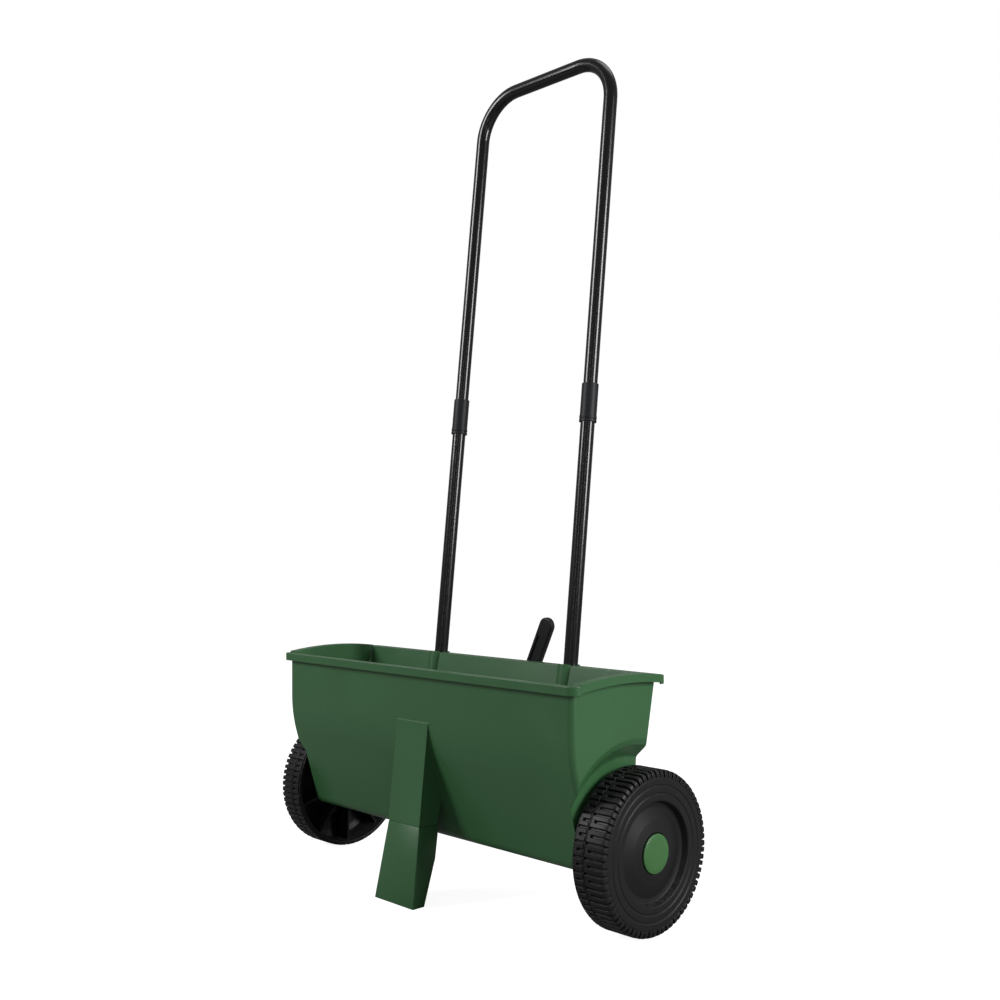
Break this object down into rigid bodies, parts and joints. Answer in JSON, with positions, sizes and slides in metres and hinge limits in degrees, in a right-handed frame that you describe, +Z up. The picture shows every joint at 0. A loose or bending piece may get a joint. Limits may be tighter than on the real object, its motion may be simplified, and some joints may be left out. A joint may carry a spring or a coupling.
{
  "type": "drop spreader",
  "caption": "Push-along lawn drop spreader: long tapered hopper, U-shaped handle, two wheels, front leg, lever-worked shutter and axle-driven agitator.",
  "frame": {"origin": "on the ground under the middle of the whole object, which is 14 mm behind the line of the axle", "axes": "+Z up, -Y to the front where the leg is, +X towards the wheel that drives the agitator"},
  "size_m": [0.658, 0.3142, 1.192],
  "materials": {
    "hopper_green": "moulded, semi-gloss",
    "leg_green": "moulded, semi-gloss",
    "cap_green": "moulded, semi-gloss",
    "wheel_black": "moulded, fine grain",
    "tube_black": "black powder coat, gloss",
    "collar_black": "moulded, satin",
    "lever_black": "moulded, satin",
    "steel": "zinc plated",
    "natural_plastic": "moulded, satin",
    "shutter_grey": "moulded, satin"
  },
  "bodies": {
    "frame": {"hopper": "hopper_green", "lower_leg": "leg_green", "leg_screws": "steel", "axle_bush_right": "natural_plastic", "axle_bush_left": "natural_plastic", "shutter_rail_front": "shutter_grey", "shutter_rail_back_left": "shutter_grey", "shutter_rail_back_right": "shutter_grey", "rail_screws": "steel", "lever_bolt": "steel", "lever_washer": "steel", "setting_plate": "lever_black", "setting_plate_screws": "steel", "lower_tube_left": "tube_black", "lower_tube_right": "tube_black", "collar_left": "collar_black", "collar_right": "collar_black", "upper_handle": "tube_black", "socket_screws": "steel"},
    "drive_axle": {"axle": "steel", "drive_pin": "steel", "agitator": "shutter_grey", "agitator_pins": "steel", "drive_wheel": "wheel_black", "hub_cap_right": "cap_green", "retaining_clip_right": "steel", "retaining_clip_left": "steel"},
    "free_wheel": {"free_wheel": "wheel_black", "hub_cap_left": "cap_green"},
    "lever": {"control_lever": "lever_black", "lever_pin": "steel"},
    "shutter": {"shutter_plate": "shutter_grey", "shutter_bracket": "steel", "bracket_rivets": "steel"}
  },
  "joints": [
    {"name": "drive_wheel_spin", "type": "hinge", "parent": "frame", "child": "drive_axle", "pos_m": [0, -0.01406, 0.1], "axis": [1, 0, 0], "continuous": true},
    {"name": "free_wheel_spin", "type": "hinge", "parent": "frame", "child": "free_wheel", "pos_m": [0, -0.01406, 0.1], "axis": [1, 0, 0], "continuous": true},
    {"name": "lever_swing", "type": "hinge", "parent": "frame", "child": "lever", "pos_m": [0, 0.05964, 0.2], "axis": [0, 1, 0], "range_deg": [-52, 0]},
    {"name": "shutter_slide", "type": "slide", "parent": "frame", "child": "shutter", "axis": [1, 0, 0], "range_m": [0, 0.02631]}
  ],
  "couplings": [
    {"joint": "shutter_slide", "follows": "lever_swing", "m_per_rad": -0.028981}
  ]
}
